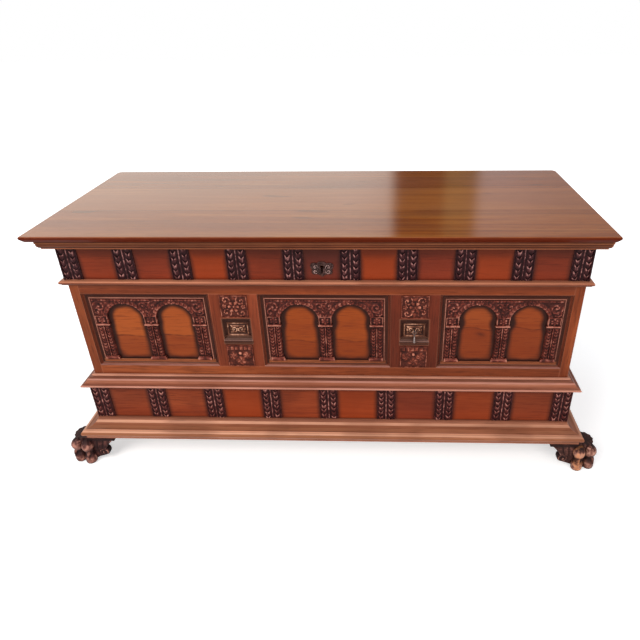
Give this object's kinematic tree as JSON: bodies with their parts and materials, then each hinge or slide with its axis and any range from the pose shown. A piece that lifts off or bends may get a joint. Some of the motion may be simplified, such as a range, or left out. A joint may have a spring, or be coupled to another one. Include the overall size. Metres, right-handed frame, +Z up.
{
  "type": "cassone",
  "caption": "Long carved walnut chest with a hinged lid, arcaded front panels, small drawers between them and lion-paw front feet.",
  "frame": {"origin": "middle of the bounding box's underside, on the floor", "axes": "+X along the chest's length to the viewer's right, -Y out of the front, +Z up"},
  "size_m": [1.63, 0.647, 0.755],
  "materials": {
    "polished_walnut": "polished, worn wax finish with long straight grain",
    "walnut": "reddish-brown walnut, waxed",
    "frieze_walnut": "deep red-brown walnut, waxed",
    "carved_walnut": "dark carved walnut, waxed high points",
    "foot_walnut": "dark carved walnut with traces of old gilding",
    "inner_wood": "plain unfinished boards",
    "dark_iron": "dark forged iron",
    "worn_iron": "bare worn iron"
  },
  "bodies": {
    "case": {"arcade_centre": "carved_walnut", "arcade_left": "carved_walnut", "arcade_right": "carved_walnut", "astragal_front": "walnut", "astragal_left": "walnut", "astragal_right": "walnut", "back_board": "inner_wood", "base_moulding_front": "walnut", "base_moulding_left": "walnut", "base_moulding_right": "walnut", "bottom_board": "inner_wood", "bottom_rail": "walnut", "carved_blocks": "carved_walnut", "drawer_surround_left": "walnut", "drawer_surround_right": "walnut", "drawer_tunnel_left": "inner_wood", "drawer_tunnel_right": "inner_wood", "end_board_left": "walnut", "end_board_right": "walnut", "hinge_case_leaves": "dark_iron", "keyhole_board": "frieze_walnut", "keyhole_escutcheon": "dark_iron", "lock_case": "dark_iron", "lower_frieze_bars": "carved_walnut", "lower_frieze_front": "frieze_walnut", "lower_frieze_left": "frieze_walnut", "lower_frieze_right": "frieze_walnut", "muntin_left": "walnut", "muntin_right": "walnut", "panel_centre": "walnut", "panel_left": "walnut", "panel_moulding_centre": "walnut", "panel_moulding_left": "walnut", "panel_moulding_right": "walnut", "panel_right": "walnut", "paw_foot_left": "foot_walnut", "paw_foot_right": "foot_walnut", "rear_feet": "inner_wood", "stile_left": "walnut", "stile_right": "walnut", "top_rail": "walnut", "upper_frieze_bars": "carved_walnut", "upper_frieze_board": "frieze_walnut", "waist_moulding_front": "walnut", "waist_moulding_left": "walnut", "waist_moulding_right": "walnut"},
    "lid": {"lid_board": "polished_walnut", "lid_moulding_front": "walnut", "lid_moulding_left": "walnut", "lid_moulding_right": "walnut", "lid_battens": "inner_wood", "hinge_lid_leaves": "dark_iron", "lid_staple": "dark_iron"},
    "drawer_left": {"drawer_front_left": "carved_walnut", "drawer_box_left": "inner_wood"},
    "drawer_right": {"drawer_front_right": "carved_walnut", "drawer_box_right": "inner_wood", "pull_eye": "dark_iron"},
    "drop_pull": {"drop_pull": "worn_iron"},
    "lock_bolt": {"lock_bolt": "dark_iron"}
  },
  "joints": [
    {"name": "lid_hinge", "type": "hinge", "parent": "case", "child": "lid", "pos_m": [0, 0.317, 0.739], "axis": [-1, 0, 0], "range_deg": [0, 100]},
    {"name": "drawer_left_slide", "type": "slide", "parent": "case", "child": "drawer_left", "axis": [0, -1, 0], "range_m": [0, 0.15]},
    {"name": "drawer_right_slide", "type": "slide", "parent": "case", "child": "drawer_right", "axis": [0, -1, 0], "range_m": [0, 0.15]},
    {"name": "pull_swing", "type": "hinge", "parent": "drawer_right", "child": "drop_pull", "pos_m": [0.251, -0.2561, 0.45785], "axis": [-1, 0, 0], "range_deg": [0, 100]},
    {"name": "bolt_slide", "type": "slide", "parent": "case", "child": "lock_bolt", "axis": [1, 0, 0], "range_m": [0, 0.014]}
  ]
}
